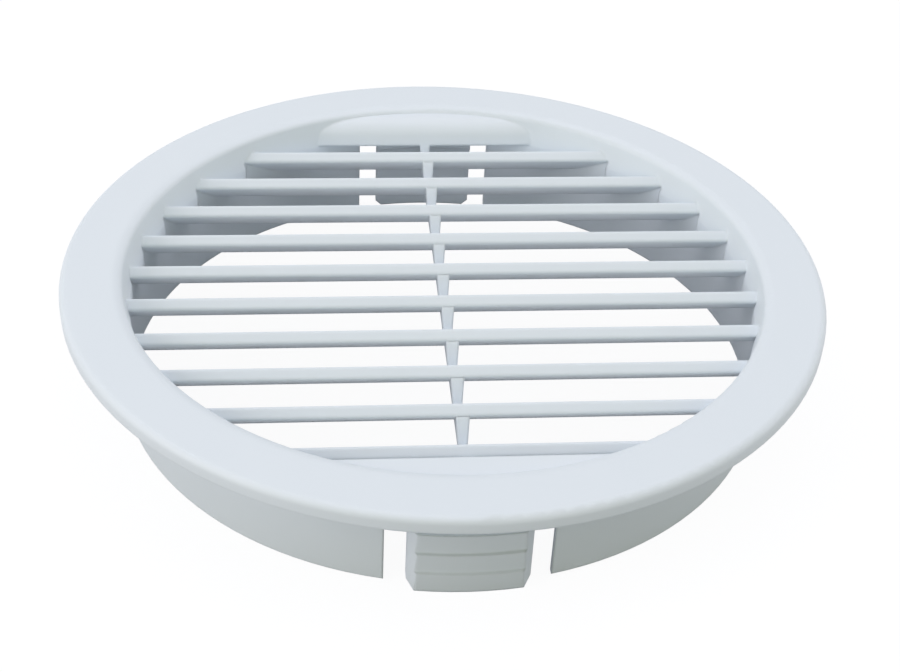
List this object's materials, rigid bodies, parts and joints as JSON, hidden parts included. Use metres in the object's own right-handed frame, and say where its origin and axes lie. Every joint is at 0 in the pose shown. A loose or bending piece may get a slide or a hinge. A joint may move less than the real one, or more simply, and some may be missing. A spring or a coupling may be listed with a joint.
{
  "type": "round vent cover",
  "caption": "Round louvred vent cover in white plastic: a flat flange, slanted blades tied by a rib, and a collar with toothed snap tabs that clips into a duct.",
  "frame": {"origin": "centre of the collar at its lower end, on the collar's axis", "axes": "+Z along the collar's axis towards the flange face, X along the blades, Y along the rib from one snap tab to the other"},
  "size_m": [0.115, 0.115, 0.0194],
  "materials": {
    "white_plastic": "satin moulded surface"
  },
  "bodies": {
    "root": {"vent_cover": "white_plastic"}
  },
  "joints": []
}
